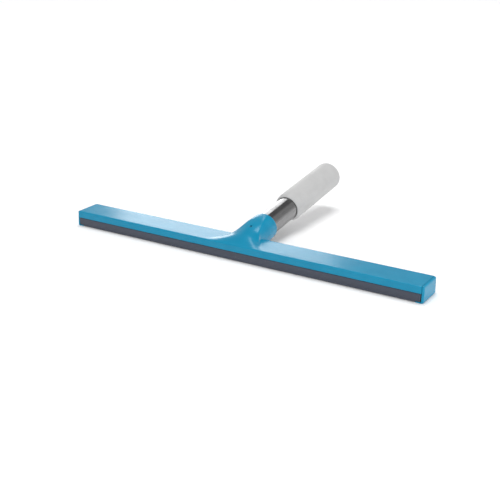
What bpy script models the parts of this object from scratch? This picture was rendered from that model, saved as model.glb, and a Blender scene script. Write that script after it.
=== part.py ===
"""T-shaped squeegee applicator, built as the assembly it would come apart into.

Frame: metres, origin on the underside of the head bar at its middle, +X along the bar,
+Y towards the grip, +Z up.  Sizes below are in millimetres.  Heights are measured from the
face the tool lies on, and "behind the front" means the distance back from the bar's front face.
"""

import math

import bmesh
import bpy
from mathutils import Matrix, Vector

MM = 0.001

# ---------------------------------------------------------------- driving dimensions
BAR_LENGTH = 450.0
BAR_DEPTH = 35.0
BAR_HEIGHT = 18.4
BAR_ROUND = 1.6
WALL = 2.4
GAP = 0.3

CAP_PLATE = 2.4
CAP_PLUG_DEPTH = 10.0
CAP_CORNER = 2.2           # corner radius of the cap's plate, seen from above
CAP_LIP_LENGTH = 6.0
CAP_LIP_HEIGHT = 1.2

STRIP_THICKNESS = 6.0
STRIP_TOP = 10.0
STRIP_LIFT = 0.4
STRIP_END_GAP = 0.9

FRONT_LIP_BOTTOM = STRIP_TOP + GAP
SHELF_HEIGHT = 2.0
BASE_THICKNESS = 2.0
RIB_THICKNESS = 2.0
SCREW_PITCH = 56.0
SCREW_COUNT = 8
SCREW_BACK = 23.5          # screws, behind the front
BOSS_RADIUS = 4.2

HANDLE_TILT = math.radians(7.8)
AXIS_START_HEIGHT = 9.95   # handle axis height where it crosses the front plane
COLLAR_END = 72.3          # along the handle axis, from the front plane
TUBE_RADIUS = 14.0
TUBE_WALL = 0.7
TUBE_START = 55.0
TUBE_END = 229.0
NOSE_RADIUS = 7.5
NOSE_START = 36.8
CORE_END = 80.0
GRIP_RADIUS = 17.25
GRIP_START = 123.2
GRIP_END = 233.0
GRIP_ROUND = 2.5
GRIP_NOSE = 8.0            # length of the rounded taper at the grip's near end
LOCK_SCREW_AT = 41.4       # along the handle axis
LOCK_SCREW_HEAD = 9.4      # its driven end, out from the handle axis
GRUB_RADIUS = 1.3

HALF_LENGTH = BAR_LENGTH / 2
FRONT = -BAR_DEPTH / 2
BACK = BAR_DEPTH / 2
BODY_HALF = HALF_LENGTH - CAP_PLATE - GAP
STRIP_HALF = HALF_LENGTH - CAP_PLATE - STRIP_END_GAP
STRIP_BACK = FRONT + STRIP_THICKNESS

# Neck stations: (behind the front, value).  A smooth curve runs through each list.  The neck is
# round below two ridges and has one broad ramp between them, from the bar's front to the collar.
RIDGE_HALF = ((0.0, 39.0), (18.0, 25.5), (30.0, 16.5), (42.0, 11.5), (72.0, 5.0))
RIDGE_HEIGHT = ((0.0, 16.0), (1.5, 18.0), (18.0, 18.0), (30.0, 22.5), (42.0, 28.0), (54.0, 32.0), (72.0, 35.0))
RAMP_HEIGHT = ((0.0, 16.0), (1.0, 18.5), (6.0, 20.5), (30.0, 26.5), (54.0, 32.5), (72.0, 36.0))
NECK_FLOOR = 16.9          # over the bar, the neck starts inside the bar's top wall


# ---------------------------------------------------------------- materials
def make_material(name, colour, roughness, metallic=0.0):
    material = bpy.data.materials.new(name)
    material.use_nodes = True
    shader = material.node_tree.nodes["Principled BSDF"]
    shader.inputs["Base Color"].default_value = (*colour, 1.0)
    shader.inputs["Roughness"].default_value = roughness
    shader.inputs["Metallic"].default_value = metallic
    return material


# ---------------------------------------------------------------- mesh helpers
def finish_object(name, mesh_builder, material, sharp_angle=35.0):
    """Turn a bmesh in millimetres into a named object in metres."""
    bmesh.ops.recalc_face_normals(mesh_builder, faces=mesh_builder.faces)
    bmesh.ops.scale(mesh_builder, vec=(MM, MM, MM), verts=mesh_builder.verts)
    mesh = bpy.data.meshes.new(name)
    mesh_builder.to_mesh(mesh)
    mesh_builder.free()
    mesh.shade_smooth()
    mesh.set_sharp_from_angle(angle=math.radians(sharp_angle))
    mesh.materials.append(material)
    part = bpy.data.objects.new(name, mesh)
    bpy.context.scene.collection.objects.link(part)
    return part


def bake(part):
    """Replace a part's mesh by what its modifiers make of it."""
    bpy.context.view_layer.update()
    graph = bpy.context.evaluated_depsgraph_get()
    mesh = bpy.data.meshes.new_from_object(part.evaluated_get(graph))
    part.modifiers.clear()
    mesh.name = part.name
    part.data = mesh


def combine(part, tool, operation):
    """Boolean a tool object into a part and delete the tool."""
    modifier = part.modifiers.new(operation.title(), "BOOLEAN")
    modifier.operation = operation
    modifier.solver = "EXACT"
    modifier.object = tool
    bake(part)
    bpy.data.objects.remove(tool)


def prism(outline, place, name, material):
    """Close a loop of points at both ends; place(point, end) gives a 3-D point for end 0 and 1."""
    builder = bmesh.new()
    rings = [[builder.verts.new(place(point, end)) for point in outline] for end in (0, 1)]
    count = len(outline)
    builder.faces.new(rings[0])
    builder.faces.new(rings[1])
    for index in range(count):
        after = (index + 1) % count
        builder.faces.new((rings[0][index], rings[0][after], rings[1][after], rings[1][index]))
    return finish_object(name, builder, material)


def extrude_x(outline, x_low, x_high, name, material):
    """Extrude a (y, z) outline along X."""
    ends = (x_low, x_high)
    return prism(outline, lambda point, end: (ends[end], point[0], point[1]), name, material)


def block(low, high, name, material):
    corners = [(low[1], low[2]), (high[1], low[2]), (high[1], high[2]), (low[1], high[2])]
    return extrude_x(corners, low[0], high[0], name, material)


def turned(profile, frame, name, material, steps=40, sharp_angle=35.0):
    """Lathe a closed (distance along axis, radius) profile; frame maps local Z onto the axis.

    A radius of zero makes a pole on the axis.
    """
    builder = bmesh.new()
    rings = []
    for along, radius in profile:
        if radius < 1e-6:
            rings.append([builder.verts.new((0.0, 0.0, along))])
            continue
        ring = []
        for step in range(steps):
            angle = 2 * math.pi * step / steps
            ring.append(builder.verts.new((radius * math.cos(angle), radius * math.sin(angle), along)))
        rings.append(ring)
    closed = len(rings[0]) > 1
    for index in range(len(rings) if closed else len(rings) - 1):
        ring, after = rings[index], rings[(index + 1) % len(rings)]
        for step in range(steps):
            turn = (step + 1) % steps
            if len(ring) == 1:
                builder.faces.new((ring[0], after[step], after[turn]))
            elif len(after) == 1:
                builder.faces.new((ring[step], ring[turn], after[0]))
            else:
                builder.faces.new((ring[step], ring[turn], after[turn], after[step]))
    builder.transform(frame)
    return finish_object(name, builder, material, sharp_angle)


def arc(centre, radius, start, end, steps):
    """Points on a circular arc, angles in degrees."""
    points = []
    for step in range(steps + 1):
        angle = math.radians(start + (end - start) * step / steps)
        points.append((centre[0] + radius * math.cos(angle), centre[1] + radius * math.sin(angle)))
    return points


# ---------------------------------------------------------------- handle frame
def axis_point(along):
    """A point on the handle's axis."""
    return Vector((0.0, FRONT + along * math.cos(HANDLE_TILT), AXIS_START_HEIGHT + along * math.sin(HANDLE_TILT)))


def handle_frame():
    """Local +Z runs up the handle from where its axis crosses the front plane."""
    turn = Matrix.Rotation(-(math.pi / 2 - HANDLE_TILT), 4, "X")
    return Matrix.Translation(axis_point(0.0)) @ turn


def lock_screw_frame():
    """Local +Z points out of the neck, square to the handle's axis."""
    return Matrix.Translation(axis_point(LOCK_SCREW_AT)) @ Matrix.Rotation(HANDLE_TILT, 4, "X")


# ---------------------------------------------------------------- neck shape
def smooth_value(stations, at):
    """Cubic curve through (position, value) stations that never overshoots them."""
    if at <= stations[0][0]:
        return stations[0][1]
    if at >= stations[-1][0]:
        return stations[-1][1]
    slopes = [(b[1] - a[1]) / (b[0] - a[0]) for a, b in zip(stations, stations[1:])]
    index = max(i for i, station in enumerate(stations[:-1]) if station[0] <= at)

    def tangent(node):
        if node == 0:
            return slopes[0]
        if node == len(slopes):
            return slopes[-1]
        before, after = slopes[node - 1], slopes[node]
        if before * after <= 0:
            return 0.0
        return 2 * before * after / (before + after)

    (start, low), (end, high) = stations[index], stations[index + 1]
    span = end - start
    t = (at - start) / span
    return ((2 * t**3 - 3 * t**2 + 1) * low + (t**3 - 2 * t**2 + t) * span * tangent(index)
            + (3 * t**2 - 2 * t**3) * high + (t**3 - t**2) * span * tangent(index + 1))


def ease(value):
    value = min(max(value, 0.0), 1.0)
    return value * value * (3 - 2 * value)


def neck_ring(behind, ramp_steps=20, round_steps=34):
    """One closed cross-section of the neck: the ramp from right to left, then the round underside."""
    half = smooth_value(RIDGE_HALF, behind)
    ridge = smooth_value(RIDGE_HEIGHT, behind)
    middle = smooth_value(RAMP_HEIGHT, behind)
    axis = AXIS_START_HEIGHT + behind * math.tan(HANDLE_TILT)
    radius = math.hypot(half, ridge - axis)
    ridge_angle = math.atan2(ridge - axis, half)
    lowest = NECK_FLOOR if behind < BAR_DEPTH - WALL / 2 else STRIP_LIFT
    points = []
    for step in range(ramp_steps + 1):
        share = 1 - 2 * step / ramp_steps
        points.append((half * share, middle + (ridge - middle) * share * share))
    for step in range(1, round_steps):
        angle = math.pi - ridge_angle + (math.pi + 2 * ridge_angle) * step / round_steps
        height = min(max(axis + radius * math.sin(angle), lowest), ridge - 0.1)
        points.append((radius * math.cos(angle), height))
    lean = HANDLE_TILT * ease((behind - 20.0) / 40.0)
    ring = []
    for across, height in points:
        rise = height - axis
        ring.append((across, FRONT + behind - rise * math.sin(lean), axis + rise * math.cos(lean)))
    return ring


def neck_body(name, material):
    """The flared neck and round socket as one loft, solid before its bore is cut."""
    stations = [0.02, 0.5, 1.2, 2.5, 5.0, 8.0, 11.0, 15.0, 19.0, 22.0, 25.0, 28.0, 31.0, 33.4, 34.4,
                37.0, 40.0, 44.0, 48.0, 53.0, 58.0, 63.0, 68.0, COLLAR_END * math.cos(HANDLE_TILT)]
    builder = bmesh.new()
    rings = [[builder.verts.new(point) for point in neck_ring(behind)] for behind in stations]
    for ring, after in zip(rings, rings[1:]):
        for index in range(len(ring)):
            turn = (index + 1) % len(ring)
            builder.faces.new((ring[index], ring[turn], after[turn], after[index]))
    builder.faces.new(rings[0])
    builder.faces.new(rings[-1])
    bmesh.ops.triangulate(builder, faces=builder.faces)
    return finish_object(name, builder, material)


def heel_body(name, material):
    """Flat keel under the neck that carries the bar's underside back to the collar."""
    root_half, end_half, start, end, top = 24.0, 6.5, BAR_DEPTH - 1.0, 70.5, 9.0
    side = []
    steps = 8
    for step in range(steps + 1):
        along = step / steps
        side.append((end_half + (root_half - end_half) * (1 - along) ** 2.6, FRONT + start + (end - start) * along))
    outline = side + [(-across, back) for across, back in reversed(side)]
    heights = (0.0, top)
    return prism(outline, lambda point, level: (point[0], point[1], heights[level]), name, material)


# ---------------------------------------------------------------- head
def screw_positions():
    return [(index - (SCREW_COUNT - 1) / 2) * SCREW_PITCH for index in range(SCREW_COUNT)]


def housing_outline():
    """Section of the bar: top, rear wall, front lip and the shelf that keys the rail."""
    front_arc = arc((FRONT + BAR_ROUND, BAR_HEIGHT - BAR_ROUND), BAR_ROUND, 180, 90, 4)
    back_arc = arc((BACK - BAR_ROUND, BAR_HEIGHT - BAR_ROUND), BAR_ROUND, 90, 0, 4)
    inner_top = BAR_HEIGHT - WALL
    lip_back = FRONT + WALL + GAP
    shelf_top = FRONT_LIP_BOTTOM + SHELF_HEIGHT
    return [(FRONT, FRONT_LIP_BOTTOM), *front_arc, *back_arc,
            (BACK, 0.6), (BACK - 0.6, 0.0), (BACK - WALL, 0.0), (BACK - WALL, inner_top),
            (lip_back, inner_top), (lip_back, shelf_top), (STRIP_BACK, shelf_top),
            (STRIP_BACK, FRONT_LIP_BOTTOM)]


def rib_outline():
    """Cross rib: presses on the rail in front and on the base plate behind."""
    inner_top = BAR_HEIGHT - WALL + 0.6
    rail_top = STRIP_TOP + GAP
    hook_back = STRIP_BACK + 2.4
    rail_back = STRIP_BACK + 12.9
    plate_top = BASE_THICKNESS + GAP
    return [(hook_back, inner_top), (hook_back, rail_top), (rail_back, rail_top), (rail_back, plate_top),
            (BACK - WALL + 0.6, plate_top), (BACK - WALL + 0.6, inner_top)]


def upright(x, y, height=0.0):
    """Frame of a vertical axis at a point of the bar."""
    return Matrix.Translation((x, y, height))


def make_head_housing(material):
    housing = extrude_x(housing_outline(), -BODY_HALF, BODY_HALF, "head_housing", material)
    for x in screw_positions():
        half = RIB_THICKNESS / 2
        combine(housing, extrude_x(rib_outline(), x - half, x + half, "rib", material), "UNION")
        bottom = BASE_THICKNESS + GAP
        profile = [(bottom, 0.0), (bottom, BOSS_RADIUS), (BAR_HEIGHT - 1.2, BOSS_RADIUS), (BAR_HEIGHT - 1.2, 0.0)]
        boss = turned(profile, upright(x, FRONT + SCREW_BACK), "boss", material, steps=20)
        combine(housing, boss, "UNION")
        profile = [(0.0, 0.0), (0.0, 1.75), (13.2, 1.75), (14.0, 0.0)]
        pilot = turned(profile, upright(x, FRONT + SCREW_BACK), "pilot", material, steps=12)
        combine(housing, pilot, "DIFFERENCE")
    combine(housing, neck_body("neck", material), "UNION")
    combine(housing, heel_body("heel", material), "UNION")
    nose_bore = NOSE_RADIUS + GAP
    tube_bore = TUBE_RADIUS + GAP
    profile = [(NOSE_START - GAP, 0.0), (NOSE_START - GAP, nose_bore), (TUBE_START - GAP, nose_bore),
               (TUBE_START - GAP, tube_bore), (COLLAR_END + 9.0, tube_bore), (COLLAR_END + 9.0, 0.0)]
    combine(housing, turned(profile, handle_frame(), "bore", material, steps=48), "DIFFERENCE")
    hole = GRUB_RADIUS + GAP
    profile = [(NOSE_RADIUS - 2.0, 0.0), (NOSE_RADIUS - 2.0, hole), (24.0, hole), (24.0, 0.0)]
    combine(housing, turned(profile, lock_screw_frame(), "screw_hole", material, steps=20), "DIFFERENCE")
    housing.data.set_sharp_from_angle(angle=math.radians(35.0))
    return housing


def make_base_plate(material):
    plate_front = STRIP_BACK + GAP
    plate_back = BACK - WALL - GAP
    rib_front = STRIP_BACK + 10.9
    rib_back = rib_front + 1.6
    outline = [(plate_front, 0.0), (plate_back, 0.0), (plate_back, BASE_THICKNESS), (rib_back, BASE_THICKNESS),
               (rib_back, STRIP_TOP - 0.4), (rib_front, STRIP_TOP - 0.4), (rib_front, BASE_THICKNESS),
               (plate_front, BASE_THICKNESS)]
    plate = extrude_x(outline, -BODY_HALF, BODY_HALF, "base_plate", material)
    for x in screw_positions():
        profile = [(-1.0, 0.0), (-1.0, 3.4), (0.2, 3.4), (1.75, 1.8), (4.0, 1.8), (4.0, 0.0)]
        cutter = turned(profile, upright(x, FRONT + SCREW_BACK), "countersink", material, steps=20)
        combine(plate, cutter, "DIFFERENCE")
    return plate


def make_strip_carrier(material):
    """Rail with a T slot for the strip's root and a hook behind the housing's shelf."""
    front = STRIP_BACK + GAP
    back = STRIP_BACK + 10.6
    bottom, top = BASE_THICKNESS + GAP, STRIP_TOP
    hook_back, hook_top = front + 1.8, STRIP_TOP + 3.8
    slit_low, slit_high = 4.5, 6.9
    room_front, room_back, room_low, room_high = front + 2.2, back - 2.2, 3.4, 8.0
    outline = [(front, bottom), (back, bottom), (back, top), (hook_back, top), (hook_back, hook_top),
               (front, hook_top), (front, slit_high), (room_front, slit_high), (room_front, room_high),
               (room_back, room_high), (room_back, room_low), (room_front, room_low), (room_front, slit_low),
               (front, slit_low)]
    return extrude_x(outline, -STRIP_HALF, STRIP_HALF, "strip_carrier", material)


def make_edge_strip(material):
    """Rubber strip: a face block, a thin web and the root bead that the rail holds."""
    web_low, web_high = 4.8, 6.6
    bead_front, bead_back = STRIP_BACK + 2.8, STRIP_BACK + 8.1
    bead_low, bead_high = 3.7, 7.7
    corner = 0.7
    outline = [(FRONT + corner, STRIP_LIFT), (STRIP_BACK, STRIP_LIFT), (STRIP_BACK, web_low), (bead_front, web_low),
               (bead_front, bead_low), (bead_back, bead_low), (bead_back, bead_high), (bead_front, bead_high),
               (bead_front, web_high), (STRIP_BACK, web_high), (STRIP_BACK, STRIP_TOP), (FRONT + corner, STRIP_TOP),
               (FRONT, STRIP_TOP - corner), (FRONT, STRIP_LIFT + corner)]
    strip = extrude_x(outline, -STRIP_HALF, STRIP_HALF, "edge_strip", material)
    notch_start = HALF_LENGTH - CAP_PLATE - CAP_LIP_LENGTH - GAP
    notch_top = CAP_LIP_HEIGHT + GAP
    for side in (-1, 1):
        low, high = sorted((side * notch_start, side * HALF_LENGTH))
        notch = block((low, FRONT - 1.0, -1.0), (high, STRIP_BACK + 1.0, notch_top), "notch", material)
        combine(strip, notch, "DIFFERENCE")
    return strip


def make_end_cap(name, side, material):
    """Blue end wall with a plug into the bar and a lip under the strip's end."""
    front_arc = arc((FRONT + BAR_ROUND, BAR_HEIGHT - BAR_ROUND), BAR_ROUND, 180, 90, 4)
    back_arc = arc((BACK - BAR_ROUND, BAR_HEIGHT - BAR_ROUND), BAR_ROUND, 90, 0, 4)
    section = [(FRONT + 0.6, 0.0), (FRONT, 0.6), *front_arc, *back_arc, (BACK, 0.6), (BACK - 0.6, 0.0)]
    inner = HALF_LENGTH - CAP_PLATE
    x_low, x_high = sorted((side * inner, side * HALF_LENGTH))
    cap = extrude_x(section, x_low, x_high, name, material)

    turn_at = HALF_LENGTH - CAP_CORNER
    corners = [*arc((turn_at, FRONT + CAP_CORNER), CAP_CORNER, -90, 0, 6),
               *arc((turn_at, BACK - CAP_CORNER), CAP_CORNER, 0, 90, 6)]
    plan = [(inner - 1.0, FRONT - 1.0), (turn_at, FRONT - 1.0), *corners, (turn_at, BACK + 1.0),
            (inner - 1.0, BACK + 1.0)]
    heights = (-1.0, BAR_HEIGHT + 1.0)
    rounding = prism(plan, lambda point, end: (side * point[0], point[1], heights[end]), "rounding", material)
    combine(cap, rounding, "INTERSECT")

    plug_low = (inner - CAP_PLUG_DEPTH, STRIP_BACK + 12.8, BASE_THICKNESS + GAP)
    plug_high = (inner + 0.6, BACK - WALL - GAP, BAR_HEIGHT - WALL - GAP)
    lip_low = (inner - CAP_LIP_LENGTH, FRONT, 0.0)
    lip_high = (inner + 0.6, STRIP_BACK - GAP, CAP_LIP_HEIGHT)
    for low, high in ((plug_low, plug_high), (lip_low, lip_high)):
        x_low, x_high = sorted((side * low[0], side * high[0]))
        piece = block((x_low, *low[1:]), (x_high, *high[1:]), "piece", material)
        combine(cap, piece, "UNION")
    cap.data.set_sharp_from_angle(angle=math.radians(35.0))
    return cap


def hex_outline(radius):
    return arc((0.0, 0.0), radius, 0, 300, 5)


def cut_socket(screw, frame, radius, depth, material):
    """Cut a hexagon socket into a screw whose end face is at its frame's origin."""
    depths = (1.0, -depth)
    socket = prism(hex_outline(radius), lambda point, end: frame @ Vector((point[0], point[1], depths[end])),
                   "socket", material)
    combine(screw, socket, "DIFFERENCE")


def make_base_screws(material):
    """Countersunk socket screws, heads just inside the underside."""
    flip = Matrix.Rotation(math.pi, 4, "X")
    profile = [(0.0, 0.0), (0.0, 2.9), (-0.25, 2.9), (-1.5, 1.4), (-11.2, 1.4), (-12.4, 0.0)]
    for index, x in enumerate(screw_positions(), start=1):
        frame = upright(x, FRONT + SCREW_BACK, 0.25) @ flip
        screw = turned(profile, frame, f"base_screw_{index}", material, steps=20)
        cut_socket(screw, frame, 1.2, 0.9, material)


# ---------------------------------------------------------------- handle
def make_handle_tube(material):
    inner = TUBE_RADIUS - TUBE_WALL
    profile = [(TUBE_START, inner), (TUBE_START, TUBE_RADIUS - 0.2), (TUBE_START + 0.2, TUBE_RADIUS),
               (TUBE_END, TUBE_RADIUS), (TUBE_END, inner)]
    return turned(profile, handle_frame(), "handle_tube", material, steps=48)


def make_tube_core(material):
    """Plug pressed into the tube; its nose takes the locking screw."""
    core_radius = TUBE_RADIUS - TUBE_WALL - GAP
    shoulder = TUBE_START + 0.4
    cup = core_radius - 2.5
    floor = shoulder + 8.0
    profile = [(NOSE_START, 0.0), (NOSE_START, NOSE_RADIUS - 1.0), (NOSE_START + 1.0, NOSE_RADIUS),
               (shoulder, NOSE_RADIUS), (shoulder, core_radius), (CORE_END, core_radius), (CORE_END, cup),
               (floor, cup), (floor, 0.0)]
    core = turned(profile, handle_frame(), "tube_core", material, steps=36)
    hole = turned([(0.0, 0.0), (0.0, 2.7), (12.0, 2.7), (12.0, 0.0)], lock_screw_frame(), "insert_hole", material,
                  steps=20)
    combine(core, hole, "DIFFERENCE")
    return core


def make_core_insert(material):
    """Threaded brass sleeve in the nose."""
    bore = GRUB_RADIUS + 0.25
    profile = [(1.0, bore), (1.0, 2.4), (6.9, 2.4), (6.9, bore)]
    return turned(profile, lock_screw_frame(), "core_insert", material, steps=20)


def make_lock_screw(material):
    """Headless screw, sunk below the neck's face."""
    frame = lock_screw_frame() @ Matrix.Translation((0.0, 0.0, LOCK_SCREW_HEAD))
    profile = [(0.0, 0.0), (0.0, GRUB_RADIUS - 0.2), (-0.2, GRUB_RADIUS), (-7.0, GRUB_RADIUS), (-7.6, 0.0)]
    screw = turned(profile, frame, "lock_screw", material, steps=20)
    cut_socket(screw, frame, 0.75, 1.2, material)
    return screw


def make_grip_sleeve(material):
    inner = TUBE_RADIUS + GAP
    mouth = [(GRIP_START, inner)]
    for step in range(7):
        angle = math.pi / 2 * step / 6
        rise = (GRIP_RADIUS - inner - 0.4) * math.sin(angle)
        mouth.append((GRIP_START + GRIP_NOSE * (1 - math.cos(angle)), inner + 0.4 + rise))
    end_arc = arc((GRIP_END - GRIP_ROUND, GRIP_RADIUS - GRIP_ROUND), GRIP_ROUND, 90, 0, 5)
    profile = [*mouth, *end_arc, (GRIP_END, inner)]
    return turned(profile, handle_frame(), "grip_sleeve", material, steps=48)


def make_grip_end_plug(material):
    """Stopper that closes the tube's end, flush with the grip."""
    disc = TUBE_RADIUS
    stem = TUBE_RADIUS - TUBE_WALL - GAP
    under = TUBE_END + GAP
    profile = [(GRIP_END - 0.4, 0.0), (GRIP_END - 0.4, disc - 0.6), (GRIP_END - 1.0, disc), (under, disc),
               (under, stem), (under - 9.0, stem), (under - 9.0, stem - 2.0), (under, stem - 2.0), (under, 0.0)]
    return turned(profile, handle_frame(), "grip_end_plug", material, steps=36)


def main():
    for part in list(bpy.data.objects):
        bpy.data.objects.remove(part)
    blue = make_material("blue_plastic", (0.02, 0.28, 0.46), 0.30)
    rubber = make_material("dark_rubber", (0.09, 0.10, 0.12), 0.75)
    aluminium = make_material("rail_aluminium", (0.70, 0.71, 0.73), 0.40, 1.0)
    steel = make_material("stainless_steel", (0.62, 0.61, 0.60), 0.22, 1.0)
    zinc = make_material("zinc_steel", (0.55, 0.55, 0.56), 0.35, 1.0)
    brass = make_material("brass", (0.72, 0.52, 0.20), 0.35, 1.0)
    grey = make_material("grey_grip", (0.58, 0.58, 0.585), 0.55)
    black = make_material("black_nylon", (0.03, 0.03, 0.032), 0.55)

    make_head_housing(blue)
    make_base_plate(blue)
    make_end_cap("end_cap_left", -1, blue)
    make_end_cap("end_cap_right", 1, blue)
    make_edge_strip(rubber)
    make_strip_carrier(aluminium)
    make_base_screws(zinc)
    make_handle_tube(steel)
    make_tube_core(black)
    make_core_insert(brass)
    make_lock_screw(zinc)
    make_grip_sleeve(grey)
    make_grip_end_plug(grey)


main()
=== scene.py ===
"""Looks of the T-shaped squeegee applicator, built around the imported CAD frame.

Shapes are signed-distance functions in millimetres, meshed on graded grids, or turned profiles.
The bar, the caps, the strip, the base plate and the rail take their outer sizes from the frame's
boxes.  The neck, the handle and the screws are placed by named values that repeat the CAD's.
"""

import math

import bmesh
import bpy
import numpy as np
from mathutils import Matrix, Vector


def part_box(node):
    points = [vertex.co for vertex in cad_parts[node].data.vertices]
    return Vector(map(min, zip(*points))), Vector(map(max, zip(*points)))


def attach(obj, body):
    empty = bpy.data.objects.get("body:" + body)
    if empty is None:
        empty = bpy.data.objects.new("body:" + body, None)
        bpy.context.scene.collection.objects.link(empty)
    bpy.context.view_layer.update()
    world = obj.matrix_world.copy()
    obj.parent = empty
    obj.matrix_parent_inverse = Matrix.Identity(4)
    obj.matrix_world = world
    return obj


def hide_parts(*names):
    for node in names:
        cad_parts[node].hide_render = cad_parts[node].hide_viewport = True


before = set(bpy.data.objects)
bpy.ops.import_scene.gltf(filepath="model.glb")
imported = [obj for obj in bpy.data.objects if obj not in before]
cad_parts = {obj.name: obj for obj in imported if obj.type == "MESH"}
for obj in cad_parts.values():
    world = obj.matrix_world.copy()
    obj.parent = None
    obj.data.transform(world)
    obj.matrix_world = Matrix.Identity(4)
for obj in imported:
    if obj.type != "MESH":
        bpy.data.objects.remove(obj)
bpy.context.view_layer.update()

MM = 0.001


def node_box(name):
    """A CAD node's lowest and highest corners, in millimetres."""
    low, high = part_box(name)
    return np.array(low) / MM, np.array(high) / MM


# ---------------------------------------------------------------- sizes read from the frame
CAP_LOW, CAP_HIGH = node_box("end_cap_right")
HOUSING_HIGH = node_box("head_housing")[1]
STRIP_LOW, STRIP_HIGH = node_box("edge_strip")
PLATE_LOW, PLATE_HIGH = node_box("base_plate")
CARRIER_LOW, CARRIER_HIGH = node_box("strip_carrier")

HALF_LENGTH = CAP_HIGH[0]
FRONT = CAP_LOW[1]
BAR_DEPTH = -2 * FRONT
BACK = -FRONT
BAR_HEIGHT = CAP_HIGH[2]
BODY_HALF = HOUSING_HIGH[0]
STRIP_HALF = STRIP_HIGH[0]
STRIP_LIFT = STRIP_LOW[2]
STRIP_TOP = STRIP_HIGH[2]
GAP = 0.3                  # clearance between neighbouring CAD solids; not read from a box
CAP_PLATE = HALF_LENGTH - BODY_HALF - GAP
CAP_INNER = HALF_LENGTH - CAP_PLATE
STRIP_BACK = PLATE_LOW[1] - GAP
WALL = BACK - GAP - PLATE_HIGH[1]
INNER_TOP = BAR_HEIGHT - WALL

# ---------------------------------------------------------------- shape details of the real pieces
BAR_ROUND = 1.6
CAP_CORNER = 2.2
# How far the cap's end face melts into the faces around it, low down and near the top.
CAP_SOFTNESS_HEIGHTS = (0.35 * BAR_HEIGHT, 0.8 * BAR_HEIGHT)
CAP_EDGE_SOFTNESS = (1.2, 3.0)
CAP_PLUG_DEPTH = 10.0
CAP_PLUG_FRONT = STRIP_BACK + 12.8
CAP_PLUG_WALL = 1.5
CAP_LIP_LENGTH = 6.0
CAP_LIP_HEIGHT = 1.2
SHELF_HEIGHT = 2.0
BASE_THICKNESS = 2.0
RIB_THICKNESS = 2.0
SCREW_PITCH = 56.0
SCREW_COUNT = 8
SCREW_BACK = 23.5
SCREW_SINK = 0.25          # screw heads lie this far inside the underside
SCREW_TURN = 0.7           # each screw stops at its own angle, radians further than the one before
BOSS_RADIUS = 4.2
PILOT_RADIUS = 1.75
PILOT_TOP = 13.6

# The strip's root: a thin web and a bead, held in the rail's T slot; heights above the underside.
WEB_LOW, WEB_HIGH = 4.8, 6.6
BEAD_LOW, BEAD_HIGH = 3.7, 7.7
LIP_GROOVE_HEIGHT, LIP_GROOVE_RADIUS = 3.1, 0.4
PLATE_RIB_FRONT = STRIP_BACK + 10.9
PLATE_RIB_THICKNESS = 1.6

# The handle, as in the CAD: its axis leaves the front plane at this tilt and height.  The starts and
# ends of the collar, tube, nose, core and grip, and the locking screw's place, are distances along it.
TILT = math.radians(7.8)
AXIS_START_HEIGHT = 9.95
COLLAR_END = 72.3
TUBE_RADIUS = 14.0
TUBE_WALL = 0.7
TUBE_START = 55.0
TUBE_END = 229.0
NOSE_RADIUS = 7.5
NOSE_START = 36.8
CORE_END = 80.0
GRIP_RADIUS = 17.25
GRIP_START = 123.2
GRIP_END = 233.0
GRIP_ROUND = 2.5
GRIP_NOSE = 8.0
GRIP_BARREL = 0.12         # how much thicker the grip is in its middle
GRIP_MOUTH_ROUND = 0.12
LOCK_SCREW_AT = 41.4
LOCK_SCREW_HEAD = 9.4
GRUB_RADIUS = 1.3

# Neck stations: (behind the front, value), joined by smooth curves that never overshoot.
RIDGE_HALF = ((0.0, 39.0), (18.0, 25.5), (30.0, 16.5), (42.0, 11.5), (72.0, 5.0))
RIDGE_HEIGHT = ((0.0, 16.0), (1.5, 18.0), (18.0, 18.0), (30.0, 22.5), (42.0, 28.0), (54.0, 32.0),
                (72.0, 35.0))
RAMP_HEIGHT = ((0.0, 16.0), (1.0, 18.5), (6.0, 20.5), (30.0, 26.5), (54.0, 32.5), (72.0, 36.0))
NECK_FLOOR = 16.9
NECK_FILLET = 0.9
RIDGE_SOFTNESS = 0.8
HEEL_ROOT_HALF = 24.0
HEEL_END_HALF = 6.5
HEEL_END = 70.5
HEEL_TOP = 9.0
HEEL_FLARE_POWER = 2.6     # how quickly the keel widens towards the bar


# ---------------------------------------------------------------- distance functions, millimetres
def smooth_min(a, b, width):
    """The smaller value, with the crease between the two rounded over the given width."""
    overlap = np.maximum(width - np.abs(a - b), 0.0) / width
    return np.minimum(a, b) - overlap * overlap * width / 4


def smooth_max(a, b, width):
    return -smooth_min(-a, -b, width)


def rounded_box(coordinates, low, high, radius=0.0):
    """Distance to a box with rounded edges, in as many dimensions as there are coordinates."""
    reach = [np.abs(c - (l + h) / 2) - ((h - l) / 2 - radius) for c, l, h in zip(coordinates, low, high)]
    outside = np.sqrt(sum(np.maximum(r, 0.0) ** 2 for r in reach))
    inside = np.minimum(np.maximum.reduce(reach), 0.0)
    return outside + inside - radius


def ease(value):
    value = np.clip(value, 0.0, 1.0)
    return value * value * (3 - 2 * value)


def curve_through(stations, at):
    """Cubic curve through (position, value) stations that never overshoots them."""
    where, value = np.array(stations, float).T
    slope = np.diff(value) / np.diff(where)
    tangent = np.zeros_like(value)
    tangent[0], tangent[-1] = slope[0], slope[-1]
    before, after = slope[:-1], slope[1:]
    same = before * after > 0
    tangent[1:-1][same] = 2 * before[same] * after[same] / (before[same] + after[same])
    at = np.clip(at, where[0], where[-1])
    index = np.clip(np.searchsorted(where, at, side="right") - 1, 0, len(slope) - 1)
    span = where[index + 1] - where[index]
    t = (at - where[index]) / span
    return ((2 * t**3 - 3 * t**2 + 1) * value[index] + (t**3 - 2 * t**2 + t) * span * tangent[index]
            + (3 * t**2 - 2 * t**3) * value[index + 1] + (t**3 - t**2) * span * tangent[index + 1])


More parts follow.
